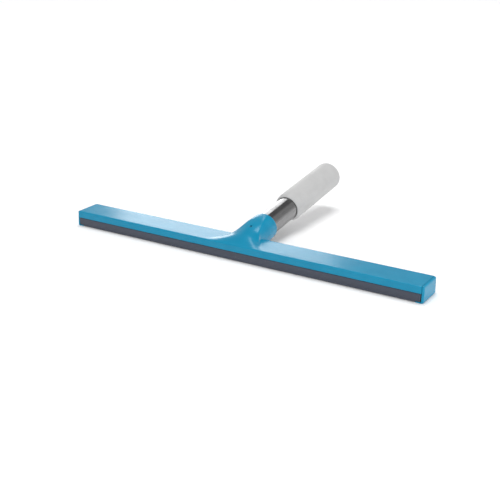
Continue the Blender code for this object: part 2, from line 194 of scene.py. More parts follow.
def handle_coordinates(x, y, z):
    """Distance along the handle's axis, distance from the axis, and height square to the axis."""
    back, up = y - FRONT, z - AXIS_START_HEIGHT
    along = back * math.cos(TILT) + up * math.sin(TILT)
    across = -back * math.sin(TILT) + up * math.cos(TILT)
    return along, np.sqrt(x * x + across * across), across


def bar_section(y, z):
    """The bar's outside: large radius at the top edges, small at the bottom ones."""
    upper = rounded_box((y, z), (FRONT, -20.0), (BACK, BAR_HEIGHT), BAR_ROUND)
    lower = rounded_box((y, z), (FRONT, 0.0), (BACK, BAR_HEIGHT + 20.0), 0.5)
    return np.maximum(upper, lower)


def neck_round(behind):
    """Height of the handle axis and radius of the neck's round underside."""
    axis = AXIS_START_HEIGHT + behind * math.tan(TILT)
    return axis, np.hypot(curve_through(RIDGE_HALF, behind), curve_through(RIDGE_HEIGHT, behind) - axis)


def neck_field(x, y, z):
    """Neck that flares into the bar: round below two ridges, one broad ramp between them."""
    behind = y - FRONT
    for _ in range(3):
        axis = AXIS_START_HEIGHT + behind * math.tan(TILT)
        lean = TILT * ease((behind - 20.0) / 40.0)
        rise = (z - axis) / np.cos(lean)
        behind = y - FRONT + rise * np.sin(lean)
    axis, radius = neck_round(behind)
    growth = (neck_round(behind + 0.5)[1] - radius) / 0.5
    height = axis + rise
    under = (np.hypot(x, height - axis) - radius) / np.sqrt(1 + growth * growth)

    half = curve_through(RIDGE_HALF, behind)
    middle = curve_through(RAMP_HEIGHT, behind)
    dish = curve_through(RIDGE_HEIGHT, behind) - middle
    share = np.clip(np.abs(x) / half, 0.0, 1.3)
    lateral = 2 * dish * share / half
    ramp = (height - middle - dish * share * share) / np.sqrt(1.07 + lateral * lateral)
    neck = smooth_max(under, ramp, RIDGE_SOFTNESS)

    lowest = np.minimum(BAR_DEPTH - WALL / 2 - (y - FRONT), NECK_FLOOR - z)
    neck = np.maximum(np.maximum(neck, lowest), STRIP_LIFT - z)
    along = handle_coordinates(x, y, z)[0]
    return smooth_max(neck, along - COLLAR_END, 1.6)


def heel_field(x, y, z):
    """Flat keel under the neck, widening in a curve into the bar's rear wall."""
    start = BAR_DEPTH - 1.0
    along = np.clip((y - FRONT - start) / (HEEL_END - start), 0.0, 1.0)
    flare = HEEL_ROOT_HALF - HEEL_END_HALF
    half = HEEL_END_HALF + flare * (1 - along) ** HEEL_FLARE_POWER
    slope = flare * HEEL_FLARE_POWER * (1 - along) ** (HEEL_FLARE_POWER - 1) / (HEEL_END - start)
    side = (np.abs(x) - half) / np.sqrt(1 + slope * slope)
    ends = np.maximum(y - FRONT - HEEL_END, start - (y - FRONT))
    plan = smooth_max(side, ends, 3.0)
    return smooth_max(plan, np.maximum(-z, z - HEEL_TOP), 1.4)


def nearest_screw(x):
    """Distance along X to the nearest of the eight screw lines."""
    half_count = (SCREW_COUNT - 1) / 2
    line = np.clip(np.round(x / SCREW_PITCH - 0.5) + 0.5, -half_count, half_count)
    return x - line * SCREW_PITCH


def housing_field(x, y, z):
    """The blue moulding: a hollow bar, its ribs and bosses, and the neck with its socket."""
    ends = np.abs(x) - BODY_HALF
    solid = smooth_max(bar_section(y, z), ends, 0.4)
    solid = smooth_min(solid, neck_field(x, y, z), NECK_FILLET)
    solid = smooth_min(solid, heel_field(x, y, z), 2.5)
    solid = np.maximum(solid, np.maximum(FRONT - y, -z))

    lip_back = FRONT + WALL + GAP
    lip_bottom = STRIP_TOP + GAP
    cavity = rounded_box((y, z), (lip_back, -20.0), (BACK - WALL, INNER_TOP), 0.7)
    recess = rounded_box((y, z), (FRONT - 20.0, -20.0), (STRIP_BACK, lip_bottom), 0.25)
    solid = smooth_max(solid, -np.minimum(cavity, recess), 0.3)

    shelf = rounded_box((y, z), (FRONT + 1.0, lip_bottom), (STRIP_BACK, lip_bottom + SHELF_HEIGHT), 0.3)
    shelf = np.maximum(shelf, ends + 0.1)
    from_screw = nearest_screw(x)
    rib_top, rib_back = INNER_TOP + 0.8, BACK - WALL + 0.6
    over_rail = rounded_box((y, z), (STRIP_BACK + 2.4, lip_bottom), (rib_back, rib_top), 0.2)
    plate_ribs_front = PLATE_RIB_FRONT + PLATE_RIB_THICKNESS + 0.4
    over_plate = rounded_box((y, z), (plate_ribs_front, BASE_THICKNESS + GAP), (rib_back, rib_top), 0.2)
    ribs = smooth_max(np.minimum(over_rail, over_plate), np.abs(from_screw) - RIB_THICKNESS / 2, 0.3)
    boss_axis = np.sqrt(from_screw**2 + (y - FRONT - SCREW_BACK) ** 2)
    boss_ends = np.maximum(BASE_THICKNESS + GAP - z, z - rib_top)
    bosses = smooth_max(boss_axis - BOSS_RADIUS, boss_ends, 0.5)
    inside = smooth_min(smooth_min(ribs, bosses, 0.8), shelf, 0.3)
    inside = np.maximum(inside, bar_section(y, z) + 0.4)
    solid = smooth_min(solid, inside, 0.6)
    pilots = np.maximum(boss_axis - PILOT_RADIUS, z - PILOT_TOP)
    solid = np.maximum(solid, -pilots)

    along, radius, _ = handle_coordinates(x, y, z)
    nose = np.maximum(radius - NOSE_RADIUS - GAP, NOSE_START - GAP - along)
    socket = np.maximum(radius - TUBE_RADIUS - GAP, TUBE_START - GAP - along)
    solid = smooth_max(solid, -np.minimum(nose, socket), 0.5)
    return smooth_max(solid, -screw_hole_field(x, y, z), 0.5)


def screw_hole_field(x, y, z):
    """The locking screw's hole, down through the neck into the socket."""
    along, _, across = handle_coordinates(x, y, z)
    from_axis = np.sqrt(x * x + (along - LOCK_SCREW_AT) ** 2)
    return np.maximum(from_axis - GRUB_RADIUS - GAP, NOSE_RADIUS - 2.0 - across)


def cap_field(x, y, z):
    """End wall with softened corners, a hollow plug and the lip under the strip; x runs outwards."""
    section = bar_section(y, z)
    plan = rounded_box((x, y), (CAP_INNER - 20.0, FRONT), (HALF_LENGTH, BACK), CAP_CORNER)
    softness = np.interp(z, CAP_SOFTNESS_HEIGHTS, CAP_EDGE_SOFTNESS)
    plate = smooth_max(smooth_max(section, plan, softness), CAP_INNER - x, 0.3)
    plug_low = (CAP_INNER - CAP_PLUG_DEPTH, CAP_PLUG_FRONT, BASE_THICKNESS + GAP)
    plug_high = (CAP_INNER + 1.0, BACK - WALL - GAP, INNER_TOP - GAP)
    plug = rounded_box((x, y, z), plug_low, plug_high, 0.6)
    hollow_low = (CAP_INNER - CAP_PLUG_DEPTH - 5.0, plug_low[1] + CAP_PLUG_WALL, plug_low[2] + CAP_PLUG_WALL)
    hollow_high = (CAP_INNER - 0.2, plug_high[1] - CAP_PLUG_WALL, plug_high[2] - CAP_PLUG_WALL)
    plug = smooth_max(plug, -rounded_box((x, y, z), hollow_low, hollow_high, 0.5), 0.4)
    lip = rounded_box((x, y, z), (CAP_INNER - CAP_LIP_LENGTH, FRONT, 0.0),
                      (CAP_INNER + 1.0, STRIP_BACK - GAP, CAP_LIP_HEIGHT), 0.35)
    return smooth_min(smooth_min(plate, plug, 0.5), lip, 0.3)


def strip_field(x, y, z):
    """Rubber blade: face block with a wiping lip, a thin web and the root bead."""
    face = rounded_box((y, z), (FRONT, STRIP_LIFT), (STRIP_BACK, STRIP_TOP), 0.7)
    web = rounded_box((y, z), (STRIP_BACK - 1.0, WEB_LOW), (STRIP_BACK + 4.0, WEB_HIGH))
    bead = rounded_box((y, z), (STRIP_BACK + 2.8, BEAD_LOW), (STRIP_BACK + 8.1, BEAD_HIGH), 0.9)
    section = smooth_min(smooth_min(face, web, 0.5), bead, 0.5)
    groove = np.hypot(y - FRONT + 0.15, z - LIP_GROOVE_HEIGHT) - LIP_GROOVE_RADIUS
    section = smooth_max(section, -groove, 0.25)
    strip = smooth_max(section, np.abs(x) - STRIP_HALF, 0.5)
    notch_start = CAP_INNER - CAP_LIP_LENGTH - GAP
    beside_lip = np.maximum(notch_start - np.abs(x), z - CAP_LIP_HEIGHT - GAP)
    notch = np.maximum(beside_lip, y - STRIP_BACK - 1.0)
    return smooth_max(strip, -notch, 0.3)


def plate_field(x, y, z):
    """Flat cover under the bar with its locating rib and eight countersunk holes."""
    flat = rounded_box((y, z), (PLATE_LOW[1], PLATE_LOW[2]), (PLATE_HIGH[1], BASE_THICKNESS), 0.35)
    rib = rounded_box((y, z), (PLATE_RIB_FRONT, BASE_THICKNESS - 1.0),
                      (PLATE_RIB_FRONT + PLATE_RIB_THICKNESS, STRIP_TOP - 0.4), 0.4)
    plate = smooth_max(smooth_min(flat, rib, 0.6), np.abs(x) - PLATE_HIGH[0], 0.4)
    from_axis = np.sqrt(nearest_screw(x) ** 2 + (y - FRONT - SCREW_BACK) ** 2)
    hole = np.minimum(from_axis - 1.8, np.maximum(from_axis - 3.3 + np.maximum(z - 0.2, 0.0), z - 1.7))
    return smooth_max(plate, -hole, 0.2)


def carrier_field(x, y, z):
    """Aluminium rail with a T slot for the strip's bead and a hook over the housing's shelf."""
    front, back = CARRIER_LOW[1], CARRIER_HIGH[1]
    body = rounded_box((y, z), (front, CARRIER_LOW[2]), (back, STRIP_TOP), 0.35)
    hook = rounded_box((y, z), (front, STRIP_TOP - 2.0), (front + 1.8, CARRIER_HIGH[2]), 0.4)
    rail = smooth_min(body, hook, 0.5)
    slit = rounded_box((y, z), (front - 3.0, WEB_LOW - GAP), (front + 3.5, WEB_HIGH + GAP))
    room = rounded_box((y, z), (front + 2.2, BEAD_LOW - GAP), (back - 2.2, BEAD_HIGH + GAP), 0.4)
    rail = smooth_max(rail, -np.minimum(slit, room), 0.25)
    return smooth_max(rail, np.abs(x) - CARRIER_HIGH[0], 0.3)


def base_screw_field(x, y, z):
    """Countersunk screw with a hexagon socket, head at z = 0 and thread along +z."""
    radius = np.sqrt(x * x + y * y)
    head = np.maximum(radius - 2.9 + np.maximum(z - 0.3, 0.0) * 1.2, -z)
    turn = np.arctan2(y, x) / (2 * math.pi)
    wave = np.abs(((z / 1.1 + turn) % 1.0) * 2 - 1)
    shank = np.maximum(radius - 1.15 - 0.42 * wave**1.5, np.maximum(0.2 - z, z - 12.0 + radius * 0.8))
    screw = smooth_max(np.minimum(head, shank), np.maximum(-z, z - 12.3), 0.2)
    return smooth_max(screw, -hex_socket(x, y, z, 1.04, 1.0), 0.12)


def grub_screw_field(x, y, z):
    """Headless screw with a hexagon socket, driven end at z = 0, thread along +z."""
    radius = np.sqrt(x * x + y * y)
    turn = np.arctan2(y, x) / (2 * math.pi)
    wave = np.abs(((z / 0.7 + turn) % 1.0) * 2 - 1)
    body = np.maximum(radius - 1.02 - 0.26 * wave, np.maximum(-z, z - 7.6 + radius * 0.7))
    body = smooth_max(body, radius - 1.2 - z * 0.8, 0.1)
    return smooth_max(body, -hex_socket(x, y, z, 0.65, 1.2), 0.1)


def hex_socket(x, y, z, half_width, depth):
    """The hexagonal hole for a key, sunk from z = 0."""
    sides = [x * math.cos(a) + y * math.sin(a) for a in (0.0, math.pi / 3, 2 * math.pi / 3)]
    across = np.maximum.reduce([np.abs(side) for side in sides])
    return np.maximum(across - half_width, z - depth)


# ---------------------------------------------------------------- meshing
def graded(*stretches):
    """Grid lines: each stretch is (start, end, step), and the next one starts where it ends."""
    lines = [np.array([stretches[0][0]])]
    for start, end, step in stretches:
        count = max(int(round((end - start) / step)), 1)
        lines.append(np.linspace(start, end, count + 1)[1:])
    return np.concatenate(lines)


def gradient(field, points):
    """The field's slope at each point, by central differences."""
    reach = 0.02
    steps = np.eye(3) * reach
    return np.stack([(field(*(points + s).T) - field(*(points - s).T)) / (2 * reach) for s in steps], 1)


def surface_net(field, axes):
    """Points and quads of the surface where the field is zero, one point in each crossed cell."""
    value = field(*np.meshgrid(*axes, indexing="ij"))
    inside = value < 0
    cells = tuple(n - 1 for n in value.shape)
    total, count = np.zeros(cells + (3,)), np.zeros(cells)
    crossings = []
    for axis in range(3):
        low = [slice(None)] * 3
        high = [slice(None)] * 3
        low[axis], high[axis] = slice(None, -1), slice(1, None)
        low, high = tuple(low), tuple(high)
        crossed = inside[low] != inside[high]
        crossings.append((crossed, inside[low]))
        index = np.argwhere(crossed)
        a, b = value[low][crossed], value[high][crossed]
        share = a / (a - b)
        place = np.stack([axes[k][index[:, k]] for k in range(3)], 1)
        along = axes[axis]
        place[:, axis] += share * (along[index[:, axis] + 1] - along[index[:, axis]])
        others = [k for k in range(3) if k != axis]
        for shift_a in (0, 1):
            for shift_b in (0, 1):
                cell = index.copy()
                cell[:, others[0]] -= shift_a
                cell[:, others[1]] -= shift_b
                fits = np.all((cell >= 0) & (cell < cells), axis=1)
                where = tuple(cell[fits].T)
                np.add.at(total, where, place[fits])
                np.add.at(count, where, 1)
    used = count > 0
    number = np.full(cells, -1)
    number[used] = np.arange(used.sum())
    points = total[used] / count[used][:, None]
    quads = []
    for axis in range(3):
        crossed, inside_low = crossings[axis]
        index = np.argwhere(crossed)
        flip = inside_low[crossed]
        first, second = [k for k in range(3) if k != axis]
        corners = []
        for shift_a, shift_b in ((1, 1), (0, 1), (0, 0), (1, 0)):
            cell = index.copy()
            cell[:, first] -= shift_a
            cell[:, second] -= shift_b
            corners.append(number[tuple(cell.T)])
        ring = np.stack(corners, 1)
        if axis == 1:
            flip = ~flip
        ring[~flip] = ring[~flip][:, ::-1]
        quads.append(ring)
    return points, np.concatenate(quads)


def meshed(name, field, axes, material, transform=None, slides=4):
    """Mesh a distance function, slide its points onto the surface, and return the object in metres."""
    points, quads = surface_net(field, axes)
    for _ in range(slides):
        distance = field(*points.T)
        normal = gradient(field, points)
        size = np.maximum((normal**2).sum(1), 0.25)
        move = -(distance / size)[:, None] * normal
        points = points + np.clip(move, -0.25, 0.25)
    if transform is not None:
        points = transform(points)
    mesh = bpy.data.meshes.new(name)
    mesh.from_pydata((points * MM).tolist(), [], quads.tolist())
    mesh.validate()
    mesh.shade_smooth()
    mesh.set_sharp_from_angle(angle=math.radians(40.0))
    mesh.materials.append(material)
    return link(name, mesh)


def link(name, mesh):
    piece = bpy.data.objects.new(name, mesh)
    bpy.context.scene.collection.objects.link(piece)
    return piece


def handle_frame():
    """Local +Z runs up the handle from where its axis crosses the front plane, in metres."""
    start = Matrix.Translation((0.0, FRONT * MM, AXIS_START_HEIGHT * MM))
    return start @ Matrix.Rotation(-(math.pi / 2 - TILT), 4, "X")


def lock_screw_frame():
    """Local +Z points out of the neck, square to the handle's axis, in metres."""
    along = LOCK_SCREW_AT
    place = (0.0, FRONT + along * math.cos(TILT), AXIS_START_HEIGHT + along * math.sin(TILT))
    return Matrix.Translation(Vector(place) * MM) @ Matrix.Rotation(TILT, 4, "X")


def arc(centre, radius, start, end, steps):
    """Points on a circular arc, angles in degrees."""
    angles = np.radians(np.linspace(start, end, steps + 1))
    return [(centre[0] + radius * math.cos(a), centre[1] + radius * math.sin(a)) for a in angles]


def turned(name, profile, placing, material, steps=128, closed=True):
    """Lathe a (distance along axis, radius) profile; a radius of zero makes a pole."""
    points, faces, rings = [], [], []
    for along, radius in profile:
        if radius < 1e-6:
            rings.append([len(points)])
            points.append((0.0, 0.0, along * MM))
            continue
        rings.append(list(range(len(points), len(points) + steps)))
        for step in range(steps):
            angle = 2 * math.pi * step / steps
            points.append((radius * math.cos(angle) * MM, radius * math.sin(angle) * MM, along * MM))
    for index in range(len(rings) if closed else len(rings) - 1):
        ring, after = rings[index], rings[(index + 1) % len(rings)]
        for step in range(steps):
            turn = (step + 1) % steps
            if len(ring) == 1:
                faces.append((ring[0], after[step], after[turn]))
            elif len(after) == 1:
                faces.append((ring[step], ring[turn], after[0]))
            else:
                faces.append((ring[step], ring[turn], after[turn], after[step]))
    mesh = bpy.data.meshes.new(name)
    mesh.from_pydata(points, [], faces)
    mesh.transform(placing)
    builder = bmesh.new()
    builder.from_mesh(mesh)
    bmesh.ops.recalc_face_normals(builder, faces=builder.faces)
    builder.to_mesh(mesh)
    builder.free()
    mesh.shade_smooth()
    mesh.set_sharp_from_angle(angle=math.radians(40.0))
    mesh.materials.append(material)
    return link(name, mesh)


# ---------------------------------------------------------------- materials
class Shader:
    """A small helper that wires nodes into one Principled material."""

    def __init__(self, name, colour, roughness, **settings):
        self.material = bpy.data.materials.new(name)
        self.material.use_nodes = True
        self.tree = self.material.node_tree
        self.principled = self.tree.nodes["Principled BSDF"]
        self.set("Base Color", (*colour, 1.0))
        self.set("Roughness", roughness)
        for socket, value in settings.items():
            self.set(socket.replace("_", " "), value)
        self.place = self.tree.nodes.new("ShaderNodeTexCoord").outputs["Object"]

    def set(self, socket, value):
        self.principled.inputs[socket].default_value = value

    def plug(self, source, socket):
        self.tree.links.new(source, self.principled.inputs[socket])

    def node(self, kind, inputs=None, **settings):
        made = self.tree.nodes.new(kind)
        for key, value in settings.items():
            setattr(made, key, value)
        for key, value in (inputs or {}).items():
            if isinstance(value, bpy.types.NodeSocket):
                self.tree.links.new(value, made.inputs[key])
            else:
                made.inputs[key].default_value = value
        return made

    def stretched(self, scale, turn=0.0):
        """Object coordinates scaled along each axis, after a turn about X."""
        inputs = {"Vector": self.place, "Rotation": (turn, 0.0, 0.0), "Scale": scale}
        return self.node("ShaderNodeMapping", inputs).outputs["Vector"]

    def noise(self, scale, detail=3.0, vector=None, roughness=0.5):
        inputs = {"Vector": vector or self.place, "Scale": scale, "Detail": detail, "Roughness": roughness}
        return self.node("ShaderNodeTexNoise", inputs).outputs["Fac"]

    def ramp(self, factor, low, high, low_value=0.0, high_value=1.0):
        inputs = {"Value": factor, "From Min": low, "From Max": high,
                  "To Min": low_value, "To Max": high_value}
        return self.node("ShaderNodeMapRange", inputs).outputs["Result"]

    def math(self, operation, a, b):
        return self.node("ShaderNodeMath", {0: a, 1: b}, operation=operation).outputs[0]

    def mix(self, factor, colour_a, colour_b):
        made = self.tree.nodes.new("ShaderNodeMix")
        made.data_type = "RGBA"
        for index, value in ((0, factor), (6, colour_a), (7, colour_b)):
            if isinstance(value, bpy.types.NodeSocket):
                self.tree.links.new(value, made.inputs[index])
            elif index:
                made.inputs[index].default_value = (*value, 1.0)
            else:
                made.inputs[index].default_value = value
        return made.outputs[2]

    def bump(self, height, distance, strength=1.0, under=None):
        inputs = {"Height": height, "Distance": distance, "Strength": strength}
        if under is not None:
            inputs["Normal"] = under
        return self.node("ShaderNodeBump", inputs).outputs["Normal"]


def edge_wear(shader):
    """1 on convex edges, broken up by a fine noise."""
    pointed = shader.node("ShaderNodeNewGeometry").outputs["Pointiness"]
    broken = shader.ramp(shader.noise(420.0, 4.0), 0.45, 0.62)
    return shader.math("MULTIPLY", shader.ramp(pointed, 0.52, 0.60), broken)


def scratches(shader):
    """Sparse hair-fine scuffs running roughly along the bar."""
    lines = shader.noise(900.0, 2.0, shader.stretched((0.04, 1.0, 1.0), 0.4), 0.4)
    patches = shader.ramp(shader.noise(28.0, 2.0), 0.5, 0.65)
    return shader.math("MULTIPLY", shader.ramp(lines, 0.66, 0.74), patches)


def blue_plastic():
    deep, pale = (0.002, 0.226, 0.388), (0.004, 0.248, 0.418)
    shader = Shader("blue_plastic", deep, 0.24, IOR=1.34)
    cloud = shader.ramp(shader.noise(55.0, 4.0), 0.35, 0.65)
    colour = shader.mix(cloud, deep, pale)
    marks = shader.math("MAXIMUM", shader.math("MULTIPLY", edge_wear(shader), 0.22),
                        shader.math("MULTIPLY", scratches(shader), 0.16))
    shader.plug(shader.mix(marks, colour, (0.06, 0.30, 0.46)), "Base Color")
    smear = shader.ramp(shader.noise(70.0, 5.0, shader.stretched((0.35, 1.0, 1.0))), 0.3, 0.7, 0.16, 0.23)
    shader.plug(shader.math("ADD", smear, shader.math("MULTIPLY", marks, 0.5)), "Roughness")
    grain = shader.noise(2600.0, 2.0)
    flow = shader.noise(45.0, 2.0, shader.stretched((0.4, 1.0, 1.0)))
    normal = shader.bump(flow, 0.0004, 0.12)
    shader.plug(shader.bump(grain, 0.00003, 0.35, normal), "Normal")
    return shader.material


def dark_rubber():
    dark, pale = (0.034, 0.042, 0.064), (0.048, 0.057, 0.084)
    shader = Shader("dark_rubber", dark, 0.62, Sheen_Weight=0.15, Sheen_Roughness=0.5)
    streak = shader.ramp(shader.noise(380.0, 4.0, shader.stretched((0.02, 1.0, 1.0))), 0.3, 0.7)
    colour = shader.mix(streak, dark, pale)
    dust = shader.ramp(shader.noise(900.0, 3.0), 0.62, 0.72, 0.0, 0.5)
    dust = shader.math("MULTIPLY", dust, shader.ramp(shader.noise(30.0, 2.0), 0.4, 0.7))
    shader.plug(shader.mix(dust, colour, (0.20, 0.20, 0.21)), "Base Color")
    shader.plug(shader.ramp(streak, 0.0, 1.0, 0.55, 0.70), "Roughness")
    lines = shader.noise(900.0, 3.0, shader.stretched((0.01, 1.0, 1.0)))
    grain = shader.noise(4200.0, 2.0)
    normal = shader.bump(lines, 0.00008, 0.5)
    shader.plug(shader.bump(grain, 0.00005, 0.5, normal), "Normal")
    return shader.material


def stainless_steel():
    dark, pale = (0.225, 0.224, 0.227), (0.285, 0.284, 0.287)
    shader = Shader("stainless_steel", dark, 0.13, Metallic=1.0)
    along = shader.stretched((1.0, 0.012, 1.0), -TILT)
    lines = shader.noise(1500.0, 4.0, along)
    shader.plug(shader.mix(shader.ramp(lines, 0.3, 0.7), dark, pale), "Base Color")
    smudge = shader.ramp(shader.noise(60.0, 4.0), 0.42, 0.66)
    brushed = shader.ramp(lines, 0.3, 0.7, 0.08, 0.16)
    rough = shader.math("ADD", brushed, shader.math("MULTIPLY", smudge, 0.07))
    shader.plug(rough, "Roughness")
    wave = shader.noise(35.0, 2.0, shader.stretched((1.0, 0.2, 1.0), -TILT))
    normal = shader.bump(wave, 0.0002, 0.15)
    shader.plug(shader.bump(lines, 0.00001, 0.35, normal), "Normal")
    return shader.material


def grey_grip():
    low, high = (0.465, 0.465, 0.465), (0.495, 0.495, 0.495)
    shader = Shader("grey_grip", low, 0.52, IOR=1.36)
    shader.plug(shader.mix(shader.ramp(shader.noise(80.0, 4.0), 0.35, 0.65), low, high), "Base Color")
    handled = shader.noise(40.0, 3.0, shader.stretched((1.0, 0.5, 1.0)))
    shader.plug(shader.ramp(handled, 0.35, 0.65, 0.48, 0.60), "Roughness")
    cells = shader.node("ShaderNodeTexVoronoi", {"Vector": shader.place, "Scale": 1500.0})
    pores = cells.outputs["Distance"]
    lines = shader.noise(600.0, 2.0, shader.stretched((1.0, 0.03, 1.0), -TILT))
    normal = shader.bump(lines, 0.00003, 0.25)
    shader.plug(shader.bump(pores, 0.00004, 0.3, normal), "Normal")
    return shader.material


def plain_metal(name, dark, pale, roughness, grain_scale, stretch=(1.0, 1.0, 1.0)):
    """Small hardware and extruded metal: tinted, slightly uneven, with fine lines or grain."""
    shader = Shader(name, dark, roughness, Metallic=1.0)
    grain = shader.noise(grain_scale, 4.0, shader.stretched(stretch))
    shader.plug(shader.mix(shader.ramp(grain, 0.3, 0.7), dark, pale), "Base Color")
    uneven = shader.noise(260.0, 3.0)
    shader.plug(shader.ramp(uneven, 0.3, 0.7, roughness - 0.08, roughness + 0.1), "Roughness")
    shader.plug(shader.bump(grain, 0.00002, 0.4), "Normal")
    return shader.material


def black_nylon():
    shader = Shader("black_nylon", (0.012, 0.012, 0.013), 0.48)
    cloud = shader.ramp(shader.noise(180.0, 4.0), 0.35, 0.65)
    colour = shader.mix(cloud, (0.010, 0.010, 0.011), (0.022, 0.022, 0.024))
    shader.plug(colour, "Base Color")
    shader.plug(shader.ramp(shader.noise(120.0, 3.0), 0.3, 0.7, 0.40, 0.58), "Roughness")
    shader.plug(shader.bump(shader.noise(2200.0, 2.0), 0.00005, 0.4), "Normal")
    return shader.material


# ---------------------------------------------------------------- pieces
HEAD = "head_and_handle"


def settle(piece, body, slot, *nodes):
    """Tell the frame which body the piece rides on and hide the nodes it replaces; the slot argument is not
    used.
    """
    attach(piece, body)
    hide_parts(*nodes)


def screw_lines():
    return [(index - (SCREW_COUNT - 1) / 2) * SCREW_PITCH for index in range(SCREW_COUNT)]


def housing_grid():
    """Fine around the neck, the ribs and the ends, coarse along the plain stretches of the bar."""
    fine, coarse = 0.6, 4.0
    neck_reach, boss_reach = 46.0, 5.4
    half = [(0.0, neck_reach, fine)]
    reach = neck_reach
    for x in screw_lines():
        if x > reach:
            half += [(reach, x - boss_reach, coarse), (x - boss_reach, x + boss_reach, fine)]
            reach = x + boss_reach
    half += [(reach, BODY_HALF - 1.0, coarse), (BODY_HALF - 1.0, BODY_HALF + 0.8, 0.3)]
    right = graded(*half)
    across = np.concatenate([-right[:0:-1], right])
    back = graded((FRONT - 0.9, FRONT + 3.2, 0.35), (FRONT + 3.2, BACK - 3.4, 0.6),
                  (BACK - 3.4, BACK + 0.8, 0.4), (BACK + 0.8, HOUSING_HIGH[1] + 1.2, 0.6))
    up = graded((-0.7, 3.2, 0.45), (3.2, 9.4, 0.65), (9.4, BAR_HEIGHT + 1.0, 0.4),
                (BAR_HEIGHT + 1.0, HOUSING_HIGH[2] + 1.2, 0.6))
    return across, back, up


def make_housing(material):
    housing = meshed("blue_head_housing", housing_field, housing_grid(), material)
    settle(housing, HEAD, "blue_plastic", "head_housing")


def make_end_caps(material):
    axes = (graded((CAP_INNER - CAP_PLUG_DEPTH - 0.7, CAP_INNER - 0.9, 0.45),
                   (CAP_INNER - 0.9, HALF_LENGTH + 0.6, 0.22)),
            graded((FRONT - 0.6, FRONT + 3.4, 0.25), (FRONT + 3.4, BACK - 3.4, 0.5),
                   (BACK - 3.4, BACK + 0.6, 0.25)),
            graded((-0.6, 1.8, 0.25), (1.8, BAR_HEIGHT - 3.0, 0.45),
                   (BAR_HEIGHT - 3.0, BAR_HEIGHT + 0.6, 0.25)))
    for side, word in ((-1, "left"), (1, "right")):
        cap = meshed(f"blue_end_cap_{word}", cap_field, axes, material)
        if side < 0:
            mirror(cap.data)
        settle(cap, f"{word}_cap", "blue_plastic", f"end_cap_{word}")


def mirror(mesh):
    mesh.transform(Matrix.Diagonal((-1.0, 1.0, 1.0, 1.0)))
    mesh.flip_normals()


def long_grid(half, coarse, stops=()):
    """Lines along X for a long piece: fine at its ends and around each stop on the right half."""
    end_step, end_reach = 0.25, 1.0
    stretches, reach = [], 0.0
    for start, end, step in stops:
        if start > reach:
            stretches.append((reach, start, coarse))
        stretches.append((start, end, step))
        reach = end
    stretches += [(reach, half - end_reach, coarse), (half - end_reach, half + 0.6, end_step)]
    right = graded(*stretches)
    return np.concatenate([-right[:0:-1], right])


def make_strip(material):
    notch_start = CAP_INNER - CAP_LIP_LENGTH - GAP
    axes = (long_grid(STRIP_HALF, 3.0, stops=((notch_start - 0.8, notch_start + 0.8, 0.25),)),
            graded((FRONT - 0.6, FRONT + 1.6, 0.2), (FRONT + 1.6, STRIP_BACK - 1.0, 0.5),
                   (STRIP_BACK - 1.0, STRIP_BACK + 9.0, 0.3)),
            graded((STRIP_LIFT - 0.6, STRIP_LIFT + 1.8, 0.2), (STRIP_LIFT + 1.8, STRIP_TOP - 1.0, 0.3),
                   (STRIP_TOP - 1.0, STRIP_TOP + 0.6, 0.2)))

    def ripple(points):
        """The blade's free lower lip isn't perfectly straight."""
        x, y, z = points.T
        lip = np.clip((STRIP_LIFT + 4.0 - z) / 4.0, 0, 1) * np.clip((STRIP_BACK - y) / 4.0, 0, 1)
        wave = 0.06 * np.sin(x / 13.0) + 0.05 * np.sin(x / 5.7 + 1.3)
        moved = points.copy()
        moved[:, 1] += (wave + 0.11) * lip
        return moved

    strip = meshed("rubber_edge_strip", strip_field, axes, material, ripple)
    settle(strip, HEAD, "dark_rubber", "edge_strip")


def make_base_plate(material):
    stops = tuple((x - 4.0, x + 4.0, 0.4) for x in screw_lines() if x > 0)
    axes = (long_grid(PLATE_HIGH[0], 4.0, stops=stops),
            graded((PLATE_LOW[1] - 0.5, PLATE_HIGH[1] + 0.5, 0.4)),
            graded((-0.5, 3.0, 0.25), (3.0, STRIP_TOP, 0.5)))
    settle(meshed("blue_base_plate", plate_field, axes, material), HEAD, "blue_plastic", "base_plate")


def make_carrier(material):
    axes = (long_grid(CARRIER_HIGH[0], 4.0),
            graded((CARRIER_LOW[1] - 0.5, CARRIER_HIGH[1] + 0.5, 0.25)),
            graded((CARRIER_LOW[2] - 0.5, CARRIER_HIGH[2] + 0.5, 0.25)))
    carrier = meshed("aluminium_strip_carrier", carrier_field, axes, material)
    settle(carrier, HEAD, "rail_aluminium", "strip_carrier")


def make_screws(material):
    around = graded((-3.3, 3.3, 0.2))
    axes = (around, around, graded((-0.4, 12.8, 0.16)))
    master = meshed("base_screw_master", base_screw_field, axes, material)
    mesh = master.data
    bpy.data.objects.remove(master)
    for index, x in enumerate(screw_lines(), start=1):
        screw = link(f"zinc_base_screw_{index}", mesh)
        screw.location = Vector((x, FRONT + SCREW_BACK, SCREW_SINK)) * MM
        screw.rotation_euler = (0.0, 0.0, SCREW_TURN * index)
        settle(screw, HEAD, "zinc_steel", f"base_screw_{index}")


def make_lock_screw(material):
    around = graded((-1.7, 1.7, 0.1))
    axes = (around, around, graded((-0.3, 8.0, 0.1)))
    screw = meshed("zinc_lock_screw", grub_screw_field, axes, material)
    down = Matrix.Translation((0.0, 0.0, LOCK_SCREW_HEAD * MM)) @ Matrix.Rotation(math.pi, 4, "X")
    screw.data.transform(lock_screw_frame() @ down)
    settle(screw, HEAD, "zinc_steel", "lock_screw")


